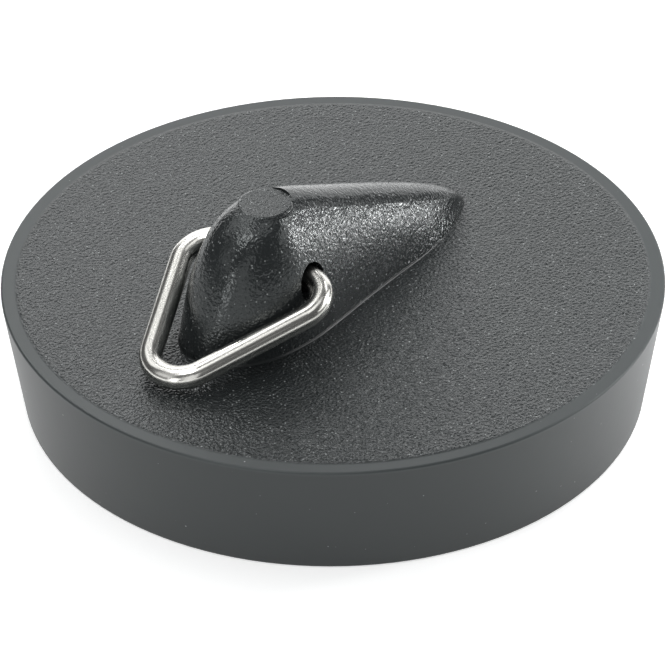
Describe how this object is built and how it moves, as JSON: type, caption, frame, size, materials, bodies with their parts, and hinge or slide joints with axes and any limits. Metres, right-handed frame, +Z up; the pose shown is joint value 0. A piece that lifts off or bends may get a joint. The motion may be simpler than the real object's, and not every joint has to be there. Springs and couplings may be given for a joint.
{
  "type": "drain stopper",
  "caption": "Round tapered sink plug with a fin-shaped grip on its top and a triangular wire ring hinged through it for a chain.",
  "frame": {"origin": "middle of the plug's underside, on the plane of its lower rim", "axes": "+Z up through the plug's top face; the grip runs along X, its tall nose with the ring at -X and its low tail at +X; the ring's hinge runs along Y"},
  "size_m": [0.045, 0.045, 0.0179],
  "materials": {
    "black_moulding": "fine moulded grain on the top face and grip, smooth rim and wall",
    "polished_wire": "polished drawn steel wire"
  },
  "bodies": {
    "plug": {"plug_body": "black_moulding"},
    "ring": {"triangle_ring": "polished_wire"}
  },
  "joints": [
    {"name": "ring_swing", "type": "hinge", "parent": "plug", "child": "ring", "pos_m": [-0.0058, 0, 0.0128], "axis": [0, 1, 0], "range_deg": [0, 185]}
  ]
}
